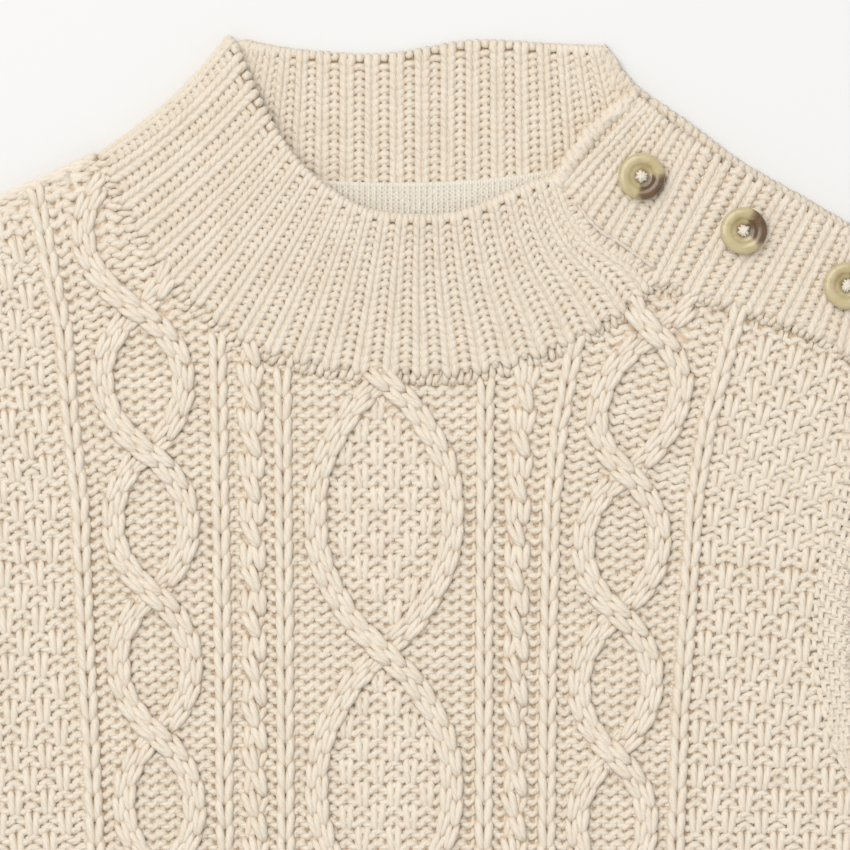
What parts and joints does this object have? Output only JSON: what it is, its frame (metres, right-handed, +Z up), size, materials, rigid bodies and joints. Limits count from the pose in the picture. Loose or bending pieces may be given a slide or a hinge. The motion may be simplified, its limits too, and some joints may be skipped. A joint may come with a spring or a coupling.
{
  "type": "child's cable knit sweater, laid flat",
  "caption": "Small child's cable knit sweater laid flat: ribbed collar folded open, ribbed band buttoned along one shoulder, cabled front, long sleeves with ribbed cuffs.",
  "frame": {"origin": "under the middle of the garment's outline, on the surface it lies on", "axes": "+Z up out of the surface, +Y from the hem to the collar, +X towards the wearer's left, where the shoulder buttons"},
  "size_m": [0.584, 0.3704, 0.0106],
  "materials": {
    "knit": "matt spun yarn, hand-knit look, ecru",
    "rib_knit": "matt spun yarn in rib, ecru",
    "tape_knit": "fine matt knit, ecru",
    "horn": "polished horn effect, olive with brown patches"
  },
  "bodies": {
    "root": {"front": "knit", "back": "knit", "sleeve_left": "knit", "sleeve_right": "knit", "collar": "rib_knit", "button_band_front": "rib_knit", "button_band_back": "rib_knit", "neck_tape": "tape_knit", "button_1": "horn", "button_2": "horn", "button_3": "horn"}
  },
  "joints": []
}
